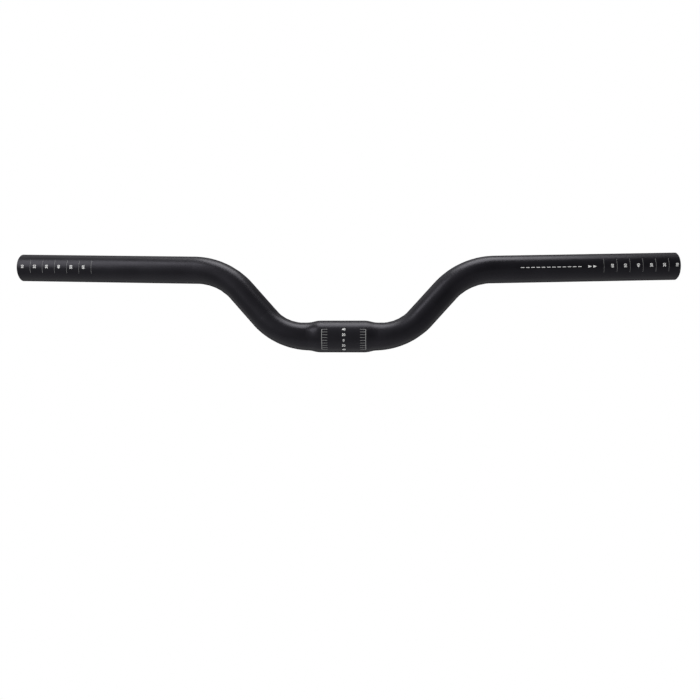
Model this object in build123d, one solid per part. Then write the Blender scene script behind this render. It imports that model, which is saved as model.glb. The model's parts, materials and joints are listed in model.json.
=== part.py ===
"""Riser handlebar: one bent aluminium tube, fat at the stem clamp and open at both ends.

The origin is the middle of the clamp. X runs along the clamp to the rider's left, Y runs back towards
the rider, the way the grips are swept, and Z is up.
"""
import os
from math import cos, radians, sin, tan

from build123d import *

# Driving dimensions in millimetres
overall_width = 540.0
rise = 60.0
clamp_diameter = 25.4
clamp_length = 34.0
taper_length = 11.5
grip_diameter = 22.2
wall = 2.0
lower_bend_radius = 45.0
upper_bend_radius = 54.0
end_chamfer = 0.6

# Driving angles in degrees
rise_angle = 48.0
upsweep = 1.9
backsweep = 5.4

# How much bending flattens the tube in the plane of the bend, as a part of its diameter
lower_bend_flattening = 0.055
riser_flattening = 0.022
upper_bend_flattening = 0.035

# How far along each bend the tube is flattest, as a part of the bend
lower_flattest_point = 0.4
upper_flattest_point = 0.5


def direction(climb):
    """Unit vector of a run that is swept back and climbs by an angle."""
    level = cos(radians(climb))
    sweep_back = radians(backsweep)
    return Vector(level * cos(sweep_back), level * sin(sweep_back), sin(radians(climb)))


def tangent_length(radius, before, after):
    """Distance from the corner of two runs to where their bend starts."""
    return radius * tan(radians(before.get_angle(after)) / 2)


# Centre line of one half of the bar, from the clamp out to the grip's end
clamp_run = Vector(1, 0, 0)
riser_run = direction(rise_angle)
grip_run = direction(upsweep)
lower_tangent = tangent_length(lower_bend_radius, clamp_run, riser_run)
upper_tangent = tangent_length(upper_bend_radius, riser_run, grip_run)

lower_bend_start = clamp_run * (clamp_length / 2 + taper_length)
lower_corner = lower_bend_start + clamp_run * lower_tangent
level_reach = (overall_width / 2 - lower_corner.X) / cos(radians(backsweep))
climb_left = rise - level_reach * tan(radians(upsweep))
riser_reach = climb_left / (tan(radians(rise_angle)) - tan(radians(upsweep)))
upper_corner = lower_corner + riser_run * (riser_reach / cos(radians(rise_angle)))
grip_end = lower_corner + direction(0) * level_reach + Vector(0, 0, rise)

lower_bend_end = lower_corner + riser_run * lower_tangent
upper_bend_start = upper_corner - riser_run * upper_tangent
upper_bend_end = upper_corner + grip_run * upper_tangent
lower_arc = TangentArc(lower_bend_start, lower_bend_end, tangent=clamp_run)
upper_arc = TangentArc(upper_bend_start, upper_bend_end, tangent=riser_run)

riser_line = Line(lower_bend_end, upper_bend_start)
grip_line = Line(upper_bend_end, grip_end)

# Each arm's bends lie in one upright plane, and this is the level direction square to it
across_arm = riser_run.cross(grip_run)


def square_to(along, place):
    """Plane square to the centre line at a point, with its X across the arm."""
    return Plane(origin=place, x_dir=across_arm, z_dir=along)


def oval(along, place, flattening):
    """Outside of the tube where bending has flattened it in the arm's plane and widened it across."""
    radius = grip_diameter / 2
    outline = Ellipse(radius * (1 + flattening), radius * (1 - flattening))
    return square_to(along, place) * outline


def bend(arc, flattenings, flattest):
    """A bent rod whose section goes from one oval through its flattest to another."""
    stations = zip((0, flattest, 1), flattenings)
    ovals = [oval(arc % t, arc @ t, flattening) for t, flattening in stations]
    return sweep(ovals, path=arc, multisection=True)


def clamp(inset):
    """Clamp with its tapers: a cylinder that runs down to the tube in two tangent arcs each side."""
    fat = clamp_diameter / 2 - inset
    slim = grip_diameter / 2 - inset
    taper_start = clamp_length / 2
    taper_end = taper_start + taper_length
    middle = ((taper_start + taper_end) / 2, (fat + slim) / 2)
    left_taper = [
        TangentArc((taper_start, fat), middle, tangent=(1, 0)),
        TangentArc((taper_end, slim), middle, tangent=(-1, 0)),
    ]
    right_taper = [mirror(curve, about=Plane.YZ) for curve in left_taper]
    top = Line((-taper_start, fat), (taper_start, fat))
    axis_side = Polyline((taper_end, slim), (taper_end, 0), (-taper_end, 0), (-taper_end, slim))
    outline = Curve() + right_taper + top + left_taper + axis_side
    return revolve(make_face(outline), axis=Axis.X)


def lower_bend():
    """Bend from the clamp's taper up into the riser, flattest soon after it starts."""
    flattenings = (0, lower_bend_flattening, riser_flattening)
    return bend(lower_arc, flattenings, lower_flattest_point)


def riser():
    """Straight slanted run between the two bends, still slightly oval."""
    start = oval(riser_run, lower_bend_end, riser_flattening)
    return extrude(start, amount=riser_line.length)


def upper_bend():
    """Bend from the riser out into the grip."""
    flattenings = (riser_flattening, upper_bend_flattening, 0)
    return bend(upper_arc, flattenings, upper_flattest_point)


def grip():
    """Straight round run that carries the grip and the levers."""
    start = square_to(grip_run, upper_bend_end) * Circle(grip_diameter / 2)
    return extrude(start, amount=grip_line.length)


def arm_bore():
    """Bore of one arm, which a mandrel keeps round through both bends."""
    mouth = square_to(clamp_run, lower_bend_start) * Circle(grip_diameter / 2 - wall)
    return sweep(mouth, path=[lower_arc, riser_line, upper_arc, grip_line])


def both_sides(solids):
    """Solids of the left arm with their mirror images on the right."""
    return solids + [mirror(solid, about=Plane.YZ) for solid in solids]


def handlebar():
    """The clamp and both arms as one tube, with the outer edge of each open end broken."""
    rod = clamp(0) + both_sides([lower_bend(), riser(), upper_bend(), grip()])
    tube = rod - [clamp(wall), *both_sides([arm_bore()])]
    by_width = tube.faces().sort_by(Axis.X)
    end_rims = [face.outer_wire().edges() for face in (by_width[0], by_width[-1])]
    return chamfer(end_rims, end_chamfer)


os.makedirs("parts", exist_ok=True)
bar = handlebar()
bar.label = "handlebar"
export_step(bar, "parts/handlebar.step")
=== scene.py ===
# %% [markdown]
# A riser handlebar in satin black
#
# A riser handlebar is one aluminium tube. It is fat in the middle, where a stem clamps it, bends up
# twice on each side, and ends in two straight grips that sweep back towards the rider. The tube's
# shape is already finished as a solid, so this lesson leaves it alone and adds what a solid lacks: a
# camera, light, a black finish with some depth to it, and the fine white print of its scales.
#
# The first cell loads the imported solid. Everything is in metres, X runs along the clamp to the
# rider's left, Y back towards the rider and Z up. The box of the solid is kept, so that the last cell
# can compare it with the box of the dressed bar.

import json
from math import cos, degrees, pi, radians, sin

import bmesh
import bpy
from mathutils import Matrix, Vector


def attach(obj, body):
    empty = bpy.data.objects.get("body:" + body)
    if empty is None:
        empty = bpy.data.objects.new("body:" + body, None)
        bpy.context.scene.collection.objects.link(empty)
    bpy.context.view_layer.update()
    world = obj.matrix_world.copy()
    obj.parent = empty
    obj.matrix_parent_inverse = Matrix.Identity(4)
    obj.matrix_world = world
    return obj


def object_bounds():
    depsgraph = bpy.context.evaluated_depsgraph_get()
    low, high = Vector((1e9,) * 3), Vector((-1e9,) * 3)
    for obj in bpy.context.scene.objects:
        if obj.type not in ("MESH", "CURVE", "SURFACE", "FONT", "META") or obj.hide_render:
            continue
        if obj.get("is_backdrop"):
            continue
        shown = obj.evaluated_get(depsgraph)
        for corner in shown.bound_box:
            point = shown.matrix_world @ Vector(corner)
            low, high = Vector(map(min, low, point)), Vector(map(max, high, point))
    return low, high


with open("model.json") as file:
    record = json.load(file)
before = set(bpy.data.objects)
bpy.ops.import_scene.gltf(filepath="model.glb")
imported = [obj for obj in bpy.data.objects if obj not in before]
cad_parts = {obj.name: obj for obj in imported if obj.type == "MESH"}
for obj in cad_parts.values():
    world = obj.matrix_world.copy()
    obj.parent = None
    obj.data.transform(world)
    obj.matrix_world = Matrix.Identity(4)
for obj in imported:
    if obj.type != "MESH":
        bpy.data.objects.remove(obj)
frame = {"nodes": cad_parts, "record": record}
cad_box = [list(corner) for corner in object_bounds()]
scene = bpy.context.scene
tube = frame["nodes"]["handlebar"]
mounts = {mount["name"]: mount for mount in frame["record"]["mounts"]}
print("tube:", len(tube.data.polygons), "faces, box", cad_box)

# %% [markdown]
# The camera
#
# The picture is taken from in front and slightly below, with the clamp near its middle. A camera can
# be placed by three turns: round the upright axis, up or down, and round its own line of sight. The
# turns are multiplied in that order, and the camera then steps back along its line of sight from the
# point that it aims at. A camera looks along its own -Z, so it is first tipped up by a right angle.

# %% Aim the camera
camera_turn = radians(2.39)
camera_rise = radians(5.33)
camera_roll = radians(0.30)
camera_aim = Vector((0.0060, 0.0012, -0.0107))
camera_distance = 0.700
camera_lens = 45.17

tipped_up = radians(90) + camera_rise
view_turn = (Matrix.Rotation(camera_turn, 3, "Z") @ Matrix.Rotation(tipped_up, 3, "X")
             @ Matrix.Rotation(camera_roll, 3, "Z"))
line_of_sight = view_turn @ Vector((0, 0, -1))
camera_place = camera_aim - line_of_sight * camera_distance

camera = bpy.data.objects.new("camera", bpy.data.cameras.new("camera"))
camera.data.lens = camera_lens
camera.matrix_world = Matrix.Translation(camera_place) @ view_turn.to_4x4()
scene.collection.objects.link(camera)
scene.camera = camera
scene.view_settings.view_transform = "Standard"
print("camera at", [round(x, 3) for x in camera_place], "lens", camera_lens)

# %% [markdown]
# Node helpers
#
# Finishes are built from shader nodes, and each node is added, set and linked in the same way. A few
# small helpers do that, so that the cells below read as a list of what goes into a finish. The Mix
# node has inputs of the same names for numbers and for colours, so those are chosen by their index.

# %% Helpers for shader nodes
def feed(socket, value):
    """Gives an input socket a link from another node or a plain value."""
    if isinstance(value, bpy.types.NodeSocket):
        socket.id_data.links.new(value, socket)
    else:
        socket.default_value = value


def add_node(nodes, kind, inputs=None, **settings):
    """Adds a shader node, sets and feeds it, and returns its outputs."""
    node = nodes.new("ShaderNode" + kind)
    for name, value in settings.items():
        setattr(node, name, value)
    for socket, value in (inputs or {}).items():
        feed(node.inputs[socket], value)
    return node.outputs


def sums(nodes, operation, first, second):
    """The result of a sum with two numbers."""
    return add_node(nodes, "Math", {0: first, 1: second}, operation=operation)[0]


def ramp(nodes, value, start, end, low=0.0, high=1.0):
    """A value eased from low to high while another goes from start to end."""
    limits = {"Value": value, "From Min": start, "From Max": end, "To Min": low, "To Max": high}
    return add_node(nodes, "MapRange", limits, interpolation_type="SMOOTHSTEP")[0]


def blend(nodes, share, first, second):
    """The first number, with a share of the second mixed in."""
    return add_node(nodes, "Mix", {0: share, 2: first, 3: second})[0]


def blend_colours(nodes, share, first, second):
    """The first colour, with a share of the second mixed in."""
    return add_node(nodes, "Mix", {0: share, 6: first, 7: second}, data_type="RGBA")[2]


def empty_tree(owner):
    """The nodes of a material or world with nothing in them, and its surface socket."""
    owner.use_nodes = True
    nodes = owner.node_tree.nodes
    nodes.clear()
    kind = "OutputWorld" if isinstance(owner, bpy.types.World) else "OutputMaterial"
    return nodes, nodes.new("ShaderNode" + kind).inputs["Surface"]


print("node helpers ready")

# %% [markdown]
# White background and floor
#
# The bar is shown on plain white. A background can be a real wall, or the world itself. Here it is
# the world: a ray from the camera finds white at strength 1. So does a mirrored or refracted ray that
# leaves about level towards the back, because what shines shows the white behind it. The rest of the
# room stays dim, as a studio is behind the photographer: dimmer at one side than at the other, and
# of an even paleness below, where the room's floor would be. That keeps the black of the tube black.

# %% White background
bright_side = 0.70
dim_side = 0.18
side_spread = 0.47
low_light = 0.55
low_full = -0.40
back_starts = 0.10
back_full = 0.80
back_height = 0.45

scene.world = bpy.data.worlds.new("studio")
nodes, surface = empty_tree(scene.world)
rays = add_node(nodes, "LightPath")
heading = add_node(nodes, "SeparateXYZ", {0: add_node(nodes, "TexCoord")["Generated"]})
shining_ray = sums(nodes, "MAXIMUM", rays["Is Glossy Ray"], rays["Is Transmission Ray"])
towards_back = ramp(nodes, heading["Y"], back_starts, back_full)
off_level = add_node(nodes, "Math", {0: heading["Z"]}, operation="ABSOLUTE")[0]
near_level = ramp(nodes, off_level, back_height / 2, back_height, 1.0, 0.0)
on_back = sums(nodes, "MULTIPLY", towards_back, near_level)
shining_back = sums(nodes, "MULTIPLY", shining_ray, on_back)
white_share = sums(nodes, "MAXIMUM", rays["Is Camera Ray"], shining_back)
side_light = ramp(nodes, heading["X"], -side_spread, side_spread, bright_side, dim_side)
downward = ramp(nodes, heading["Z"], 0.0, low_full)
room_light = blend(nodes, downward, side_light, low_light)
strength = ramp(nodes, white_share, 0, 1, low=room_light)
feed(surface, add_node(nodes, "Background", {"Color": (1, 1, 1, 1), "Strength": strength})[0])
print("background: white to the camera, room light from", dim_side, "to", bright_side)

# %% [markdown]
# The bar is held in the air by its clamp, so the floor lies well below it and below the camera. It is
# a round pale disc that takes the bar's soft shadow. Towards its rim it turns see-through by degrees,
# so no edge or horizon crosses the picture.

# %% Floor
floor_drop = 0.60
floor_radius = 0.95
floor_solid_radius = 0.30
floor_corners = 96
floor_grey = (0.80, 0.80, 0.80, 1)

disc = bmesh.new()
bmesh.ops.create_circle(disc, cap_ends=True, segments=floor_corners, radius=floor_radius)
floor = bpy.data.objects.new("floor", bpy.data.meshes.new("floor"))
disc.to_mesh(floor.data)
disc.free()
floor.location.z = -floor_drop
scene.collection.objects.link(floor)

floor_paint = bpy.data.materials.new("floor_paint")
nodes, surface = empty_tree(floor_paint)
pale = add_node(nodes, "BsdfDiffuse", {"Color": floor_grey})[0]
place = add_node(nodes, "TexCoord")["Object"]
from_middle = add_node(nodes, "VectorMath", {0: place}, operation="LENGTH")["Value"]
fade = ramp(nodes, from_middle, floor_solid_radius, floor_radius)
clear = add_node(nodes, "BsdfTransparent")[0]
feed(surface, add_node(nodes, "MixShader", {0: fade, 1: pale, 2: clear})[0])
floor.data.materials.append(floor_paint)
floor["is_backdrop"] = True
print("floor: disc of radius", floor_radius, "m,", floor_drop, "m under the clamp")

# %% [markdown]
# Studio light
#
# A dark shiny tube is drawn by what it mirrors. Small lamps would leave hard dots on it, so the lamps
# are large soft boxes, and their places decide where the tube's light bands run. A box overhead, a
# little to one side, lies as a pale band along the top of the clamp and of one grip. A second box in
# front, at the other side and higher than the bar, lies across the front of the other grip. Each is
# turned a little in its own plane, which lets its band taper. A box is given a brightness per area,
# and its power follows from its size.

# %% Soft boxes
def soft_box(name, place, aim, turned, width, height, brightness):
    """A rectangular lamp that faces a point, turned in its own plane, of even brightness."""
    lamp = bpy.data.lights.new(name, "AREA")
    lamp.shape = "RECTANGLE"
    lamp.size = width
    lamp.size_y = height
    lamp.energy = brightness * pi * width * height
    box = bpy.data.objects.new(name, lamp)
    facing = (aim - place).to_track_quat("-Z", "Y").to_matrix().to_4x4()
    box.matrix_world = Matrix.Translation(place) @ facing @ Matrix.Rotation(turned, 4, "Z")
    scene.collection.objects.link(box)
    print(name, "power", round(lamp.energy, 2), "W")


overhead_place = Vector((0.10, 0.0, 1.80))
overhead_aim = Vector((0.0, 0.0, 0.03))
front_place = Vector((-0.90, -0.78, 0.66))
front_aim = Vector((-0.10, 0.0, 0.04))

soft_box("overhead_box", overhead_place, overhead_aim, turned=radians(12),
         width=1.20, height=1.15, brightness=6.6)
soft_box("front_box", front_place, front_aim, turned=radians(-12),
         width=0.60, height=1.30, brightness=5.0)

# %% [markdown]
# The black finish
#
# The bar has a satin black coat: almost black, with a slight violet cast, a fine grain and a sheen
# that is not quite even. One flat colour would look like plastic foil. Instead slow noise shifts the
# tone and the gloss a little from place to place, and very fine noise roughens the surface by a bump.
#
# The coat stops at the bore, where the drawn aluminium is bare, and it is rubbed thin on the broken
# edge of each end. A material can find such places by itself. The distance of a point from the grip's
# axis is the length of the cross product of the axis with the way from the grip's end to the point,
# and the dot product of the two is how far along the axis the point lies. X is made positive first,
# so that one axis serves both grips.

# %% Where the bore and the end edges are
end_mount = mounts["end_bore_left"]
grip_axis = Vector(end_mount["axis"]).normalized()
grip_length = end_mount["dims"]["length_mm"] / 1000
bore_radius = end_mount["dims"]["r_mm"] / 1000
grip_end = Vector(end_mount["pos_m"]) + grip_axis * grip_length / 2
grip_radius = mounts["grip_left"]["dims"]["r_mm"] / 1000
edge_break = 0.0006
rub_start = 1.5 * edge_break
rub_full = 0.5 * edge_break
surface_slack = 0.00006

satin_black = bpy.data.materials.new("satin_black")
nodes, surface = empty_tree(satin_black)
place = add_node(nodes, "TexCoord")["Object"]
apart = add_node(nodes, "SeparateXYZ", {0: place})
left_x = add_node(nodes, "Math", {0: apart["X"]}, operation="ABSOLUTE")[0]
one_side = add_node(nodes, "CombineXYZ", {0: left_x, 1: apart["Y"], 2: apart["Z"]})[0]
from_end = add_node(nodes, "VectorMath", {0: one_side, 1: grip_end}, operation="SUBTRACT")["Vector"]
square_off = add_node(nodes, "VectorMath", {0: from_end, 1: grip_axis}, operation="CROSS_PRODUCT")
off_axis = add_node(nodes, "VectorMath", {0: square_off["Vector"]}, operation="LENGTH")["Value"]
along_grip = add_node(nodes, "VectorMath", {0: from_end, 1: grip_axis}, operation="DOT_PRODUCT")["Value"]

inside = sums(nodes, "LESS_THAN", off_axis, bore_radius + surface_slack)
on_grip = sums(nodes, "GREATER_THAN", along_grip, -grip_length)
in_bore = sums(nodes, "MULTIPLY", inside, on_grip)
outside = sums(nodes, "GREATER_THAN", off_axis, grip_radius - edge_break + surface_slack)
near_end = ramp(nodes, along_grip, -rub_start, -rub_full)
on_edge = sums(nodes, "MULTIPLY", outside, near_end)
print("grip ends at", [round(x, 4) for x in grip_end], "bore radius", bore_radius)

# %% [markdown]
# Noise is measured in ripples per metre: 45 gives patches about two centimetres wide, and 3500 gives
# grains of a third of a millimetre. The lines in the bore come from noise that is squeezed across the
# tube and drawn out along it. Each octave adds ripples half as wide to the ones before.

# %% Noise for patches, grain and lines
patch_ripples = 45
grain_ripples = 3500
line_ripples = Vector((25, 1800, 1800))


def noise(nodes, place, ripples, octaves):
    """Noise from 0 to 1 with a number of ripples per unit of length."""
    return add_node(nodes, "TexNoise", {"Vector": place, "Scale": ripples, "Detail": octaves})["Fac"]


patches = noise(nodes, place, patch_ripples, octaves=4.0)
grain = noise(nodes, place, grain_ripples, octaves=2.0)
drawn_out = add_node(nodes, "VectorMath", {0: place, 1: line_ripples}, operation="MULTIPLY")["Vector"]
lines = noise(nodes, drawn_out, ripples=1.0, octaves=3.0)
print("patches of", round(1000 / patch_ripples), "mm, grains of", round(1000 / grain_ripples, 2), "mm")

# %% [markdown]
# The slow noise chooses between two blacks. A rubbed edge and the lines in the bore are mixed in where
# the masks above say so. Most values of a noise lie between 0.3 and 0.7, so the ramps run over about
# that span.

# %% Tone of the coat and the bore
deep_black = (0.0050, 0.0048, 0.0062, 1)
soft_black = (0.0070, 0.0067, 0.0086, 1)
rubbed_black = (0.045, 0.044, 0.047, 1)
bare_aluminium = (0.52, 0.52, 0.53, 1)
tone_span = (0.35, 0.65)
rub_span = (0.40, 0.60)
noise_span = (0.3, 0.7)
line_darkness = 0.4

coat = blend_colours(nodes, ramp(nodes, patches, *tone_span), deep_black, soft_black)
rubbed = sums(nodes, "MULTIPLY", on_edge, ramp(nodes, grain, *rub_span))
worn_coat = blend_colours(nodes, rubbed, coat, rubbed_black)
lined = ramp(nodes, lines, *noise_span, 0.0, line_darkness)
lined_metal = blend_colours(nodes, lined, bare_aluminium, rubbed_black)
colour = blend_colours(nodes, in_bore, worn_coat, lined_metal)
print("coat from", deep_black[:3], "to", soft_black[:3])

# %% [markdown]
# A grainy coat is duller where it is seen at a slant, because its grains hide one another there. The
# Layer Weight node knows the slant, and a ramp turns it into extra roughness towards the tube's edges.
# The bore has a gloss of its own, which follows its lines.

# %% Gloss and relief
coat_roughness = (0.28, 0.34)
bore_roughness = (0.35, 0.55)
slant_range = (0.40, 0.85)
slant_dulling = 0.55

slant = add_node(nodes, "LayerWeight")["Facing"]
dulling = ramp(nodes, slant, *slant_range, 0.0, slant_dulling)
coat_gloss = sums(nodes, "ADD", ramp(nodes, patches, *noise_span, *coat_roughness), dulling)
bore_gloss = ramp(nodes, lines, *noise_span, *bore_roughness)
gloss = blend(nodes, in_bore, coat_gloss, bore_gloss)
relief = blend(nodes, in_bore, grain, lines)
print("roughness of the coat from", coat_roughness[0], "to", round(coat_roughness[1] + slant_dulling, 2))

# %% [markdown]
# The principled shader takes it all in. The coat mirrors less than bare lacquer would, because its
# fine grain scatters the light, so its specular level is set low, and its tint gives the sheen the
# same slight violet cast as the coat. The bore is metal, the coat is not.

# %% Satin black for the tube
grain_depth = 0.00002
grain_strength = 0.06
coat_mirror = 0.20
coat_tint = (0.90, 0.87, 1.0, 1)

grain_relief = {"Height": relief, "Strength": grain_strength, "Distance": grain_depth}
bump = add_node(nodes, "Bump", grain_relief)[0]
coat_inputs = {"Base Color": colour, "Metallic": in_bore, "Roughness": gloss, "Normal": bump,
               "Specular IOR Level": coat_mirror, "Specular Tint": coat_tint}
feed(surface, add_node(nodes, "BsdfPrincipled", coat_inputs)[0])
for slot in tube.material_slots:
    slot.material = satin_black
print("tube:", len(tube.material_slots), "material slot in satin black")

# %% [markdown]
# White print
#
# The bar carries fine white scales: cut marks with numbers near both ends, and turning marks on the
# clamp. They are ink, a few hundredths of a millimetre thick. An image texture could hold them, but a
# mesh keeps them sharp at any distance and needs no unwrapping. So each mark is drawn flat, as on a
# strip of paper, and the strip is then wound on the tube: one direction of the paper runs along the
# axis, the other becomes an angle.
#
# The ink is off-white and slightly uneven, as pad print on a satin coat is. A fine line takes up less
# ink than a number does, so the black shows through it and it is greyer.

# %% White ink and line ink
ink_ripples = 2200
cover_span = (0.25, 0.5)
ink_roughness = (0.45, 0.65)
ink_bump = 0.1
ink_bump_depth = 0.00001
ink_mirror = 0.3
thin_white = (0.50, 0.50, 0.50, 1)
full_white = (0.80, 0.80, 0.79, 1)
thin_grey = (0.18, 0.18, 0.18, 1)
full_grey = (0.29, 0.29, 0.29, 1)


def print_ink(name, thin_colour, full_colour):
    """An ink whose colour, gloss and surface vary with how thickly it lies."""
    ink = bpy.data.materials.new(name)
    nodes, surface = empty_tree(ink)
    cover = noise(nodes, add_node(nodes, "TexCoord")["Object"], ink_ripples, octaves=3.0)
    thickness = {"Height": cover, "Strength": ink_bump, "Distance": ink_bump_depth}
    colour = blend_colours(nodes, ramp(nodes, cover, *cover_span), thin_colour, full_colour)
    inputs = {"Base Color": colour,
              "Roughness": ramp(nodes, cover, *noise_span, *ink_roughness),
              "Normal": add_node(nodes, "Bump", thickness)[0],
              "Specular IOR Level": ink_mirror}
    feed(surface, add_node(nodes, "BsdfPrincipled", inputs)[0])
    return ink


white_ink = print_ink("white_ink", thin_white, full_white)
line_ink = print_ink("line_ink", thin_grey, full_grey)
print("inks:", white_ink.name, "and", line_ink.name, "patchy at", round(1000 / ink_ripples, 2), "mm")

# %% [markdown]
# A round stretch of the tube is known by a point on its axis, the direction along it and its radius.
# Forward and up follow from these. Both grips are drawn on paper that runs from the rider's right to
# the left, so that numbers are never mirrored.

# %% Round stretches that carry print
def round_stretch(start, along, radius):
    """A round stretch of the tube: a point on its axis, its directions and its radius."""
    forward = along.cross(Vector((0, 0, 1))).normalized()
    up = forward.cross(along)
    return {"start": start, "along": along, "forward": forward, "up": up, "radius": radius}


def mirrored(point):
    """A place or direction as it is on the other side of the bar."""
    return Vector((-point.x, point.y, point.z))


clamp_radius = mounts["stem_clamp"]["dims"]["r_mm"] / 1000
clamp = round_stretch(Vector(mounts["stem_clamp"]["pos_m"]), Vector((1, 0, 0)), clamp_radius)
left_grip = round_stretch(grip_end, grip_axis, grip_radius)
right_grip = round_stretch(mirrored(grip_end), -mirrored(grip_axis), grip_radius)
print("the front of the left grip faces", [round(x, 3) for x in left_grip["forward"]])

# %% [markdown]
# Two helpers draw on the paper: a bar, and a row of digits. The digits are a text object in Blender's
# own font, made into a mesh and scaled to a height.

# %% Helpers that draw on the paper
digit_weight = 0.02
digit_smoothness = 6


def draw_bar(paper, middle, width, height):
    """A filled rectangle on the paper."""
    corners = [(-1, -1), (1, -1), (1, 1), (-1, 1)]
    points = [(middle[0] + x * width / 2, middle[1] + y * height / 2, 0) for x, y in corners]
    paper.faces.new([paper.verts.new(point) for point in points])


def draw_number(paper, text, middle, height, turned=0.0):
    """A row of digits of a given height, centred on a point of the paper and turned about it."""
    words = bpy.data.curves.new("digits", "FONT")
    words.body = text
    words.offset = digit_weight
    words.resolution_u = digit_smoothness
    holder = bpy.data.objects.new("digits", words)
    flat = bpy.data.meshes.new_from_object(holder)
    low = [min(v.co[i] for v in flat.vertices) for i in (0, 1)]
    high = [max(v.co[i] for v in flat.vertices) for i in (0, 1)]
    centre = Vector(((low[0] + high[0]) / 2, (low[1] + high[1]) / 2, 0))
    scale = height / (high[1] - low[1])
    flat.transform(Matrix.Translation((*middle, 0)) @ Matrix.Rotation(turned, 4, "Z")
                   @ Matrix.Scale(scale, 4) @ Matrix.Translation(-centre))
    paper.from_mesh(flat)
    bpy.data.objects.remove(holder)
    bpy.data.curves.remove(words)
    bpy.data.meshes.remove(flat)


print("digits are drawn with", digit_smoothness, "steps to a curve")

# %% [markdown]
# A third helper winds a finished drawing on its stretch. It first slices the paper into narrow strips,
# because a wide flat face can't follow the round, and a solidify modifier then gives the ink its
# thickness, half of it sunk in the tube, so no mark floats.

# %% Helper that winds the paper on the tube
ink_height = 0.00005
strip_width = 0.0005
smallest_edge = 0.000003


def wind_on(name, paper, stretch, ink):
    """Winds a drawing on a round stretch and gives it its thickness, its ink and its body."""
    heights = [vert.co.y for vert in paper.verts]
    slices = int((max(heights) - min(heights)) / strip_width)
    for count in range(1, slices + 1):
        everything = [*paper.verts, *paper.edges, *paper.faces]
        cut = Vector((0, min(heights) + count * strip_width, 0))
        bmesh.ops.bisect_plane(paper, geom=everything, plane_co=cut, plane_no=(0, 1, 0))
    bmesh.ops.remove_doubles(paper, verts=paper.verts, dist=smallest_edge)
    bmesh.ops.dissolve_degenerate(paper, edges=paper.edges, dist=smallest_edge)
    for vert in paper.verts:
        angle = vert.co.y / stretch["radius"]
        outward = stretch["forward"] * cos(angle) + stretch["up"] * sin(angle)
        on_axis = stretch["start"] + stretch["along"] * vert.co.x
        vert.co = on_axis + outward * (stretch["radius"] + ink_height)
    piece = bpy.data.objects.new(name, bpy.data.meshes.new(name))
    paper.to_mesh(piece.data)
    paper.free()
    thickness = piece.modifiers.new("thickness", "SOLIDIFY")
    thickness.thickness = 2 * ink_height
    thickness.offset = -1
    piece.data.materials.append(ink)
    scene.collection.objects.link(piece)
    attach(piece, "root")
    print(name, len(piece.data.polygons), "faces")


print("ink stands", 1000 * ink_height, "mm proud, on strips of", 1000 * strip_width, "mm")

# %% [markdown]
# Cut marks on the grips
#
# Riders saw a bar shorter to fit, and six fine lines near each end show where to cut square. They run
# across the front of the grip. Beside each line stands a plain number that counts in tens from the
# end, turned to read along the line. A loop draws them all, once for each side.

# %% Cut marks
mark_pitch = 0.0106
mark_count = 6
first_mark = {"left": 0.0099, "right": 0.0121}
mark_width = 0.00014
mark_length = 0.0112
mark_middle = -0.0004
number_step = 10
number_height = 0.0023
number_offset = 0.0068
number_middle = -0.0007

for side, stretch, inward in (("left", left_grip, -1), ("right", right_grip, 1)):
    marks = bmesh.new()
    numbers = bmesh.new()
    for count in range(mark_count):
        mark_place = first_mark[side] + count * mark_pitch
        draw_bar(marks, (inward * mark_place, mark_middle), mark_width, mark_length)
        number = str(number_step * (count + 1))
        number_place = (inward * (mark_place - number_offset), number_middle)
        draw_number(numbers, number, number_place, number_height, turned=radians(90))
    wind_on(f"cut_marks_{side}", marks, stretch, line_ink)
    wind_on(f"cut_numbers_{side}", numbers, stretch, white_ink)

# %% [markdown]
# Dashed line and arrowheads
#
# Further in, the left grip has a plain dashed line that leads out to two small arrowheads. An
# arrowhead is one triangle on the paper.

# %% Dashed line and arrowheads
dash_start = 0.0805
dash_end = 0.1305
dash_pitch = 0.0042
dash_length = 0.0028
dash_height = 0.0005
arrow_tips = (0.0688, 0.0728)
arrow_length = 0.0029
arrow_height = 0.0021
line_middle = -0.0009

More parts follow.
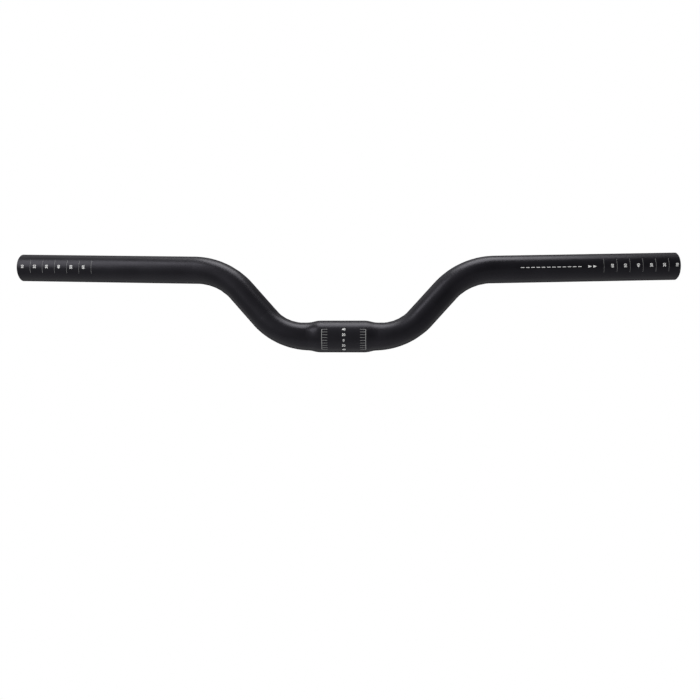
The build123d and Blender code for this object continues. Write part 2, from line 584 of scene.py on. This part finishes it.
guide = bmesh.new()
dash_count = round((dash_end - dash_start) / dash_pitch)
for count in range(dash_count):
    dash_middle = -dash_start - (count + 0.5) * dash_pitch
    draw_bar(guide, (dash_middle, line_middle), dash_length, dash_height)
arrow_top = line_middle + arrow_height / 2
arrow_bottom = line_middle - arrow_height / 2
for tip in arrow_tips:
    tail = -tip - arrow_length
    corners = [(-tip, line_middle), (tail, arrow_top), (tail, arrow_bottom)]
    guide.faces.new([guide.verts.new((*corner, 0)) for corner in corners])
wind_on("guide_line", guide, left_grip, white_ink)

# %% [markdown]
# Turning marks on the clamp
#
# The rider turns the bar in the stem until the grips sit right, and marks on the clamp help to find
# that angle again. A row of marks ten degrees apart stands at each side of the clamp, along a thin
# upright line, and between the rows plain numbers count the degrees from the middle.

# %% Turning marks
scale_middle_x = 0.0015
scale_reach = 0.0173
scale_turn = radians(-20)
mark_step = radians(10)
steps_each_way = 4
upright_width = 0.00042
turn_mark_length = 0.0042
turn_mark_gap = 0.00005
turn_mark_width = 0.00025
marks_per_number = 2
degree_height = 0.0020

turning = bmesh.new()
upright_length = 2 * steps_each_way * mark_step * clamp_radius
for side in (-1, 1):
    upright_x = scale_middle_x + side * scale_reach
    draw_bar(turning, (upright_x, scale_turn * clamp_radius), upright_width, upright_length)
    mark_x = upright_x - side * (turn_mark_gap + (turn_mark_length + upright_width) / 2)
    for step in range(-steps_each_way, steps_each_way + 1):
        height = (scale_turn + step * mark_step) * clamp_radius
        draw_bar(turning, (mark_x, height), turn_mark_length, turn_mark_width)
wind_on("turning_marks", turning, clamp, line_ink)

degree_numbers = bmesh.new()
for step in range(-steps_each_way, steps_each_way + 1, marks_per_number):
    height = (scale_turn + step * mark_step) * clamp_radius
    number = str(round(degrees(abs(step) * mark_step)))
    draw_number(degree_numbers, number, (scale_middle_x, height), degree_height)
wind_on("degree_numbers", degree_numbers, clamp, white_ink)

# %% [markdown]
#
# Print adds hundredths of a millimetre and nothing else, so the dressed bar must fill the same box as
# the solid. The last line prints how far the dressed bar's box strays from the solid's.

# %% Compare the boxes and finish
dressed_box = [list(corner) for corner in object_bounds()]
growth = max(abs(a - b) for cad, dressed in zip(cad_box, dressed_box) for a, b in zip(cad, dressed))
print("the dressed bar leaves the solid's box by at most", round(growth * 1000, 3), "mm")
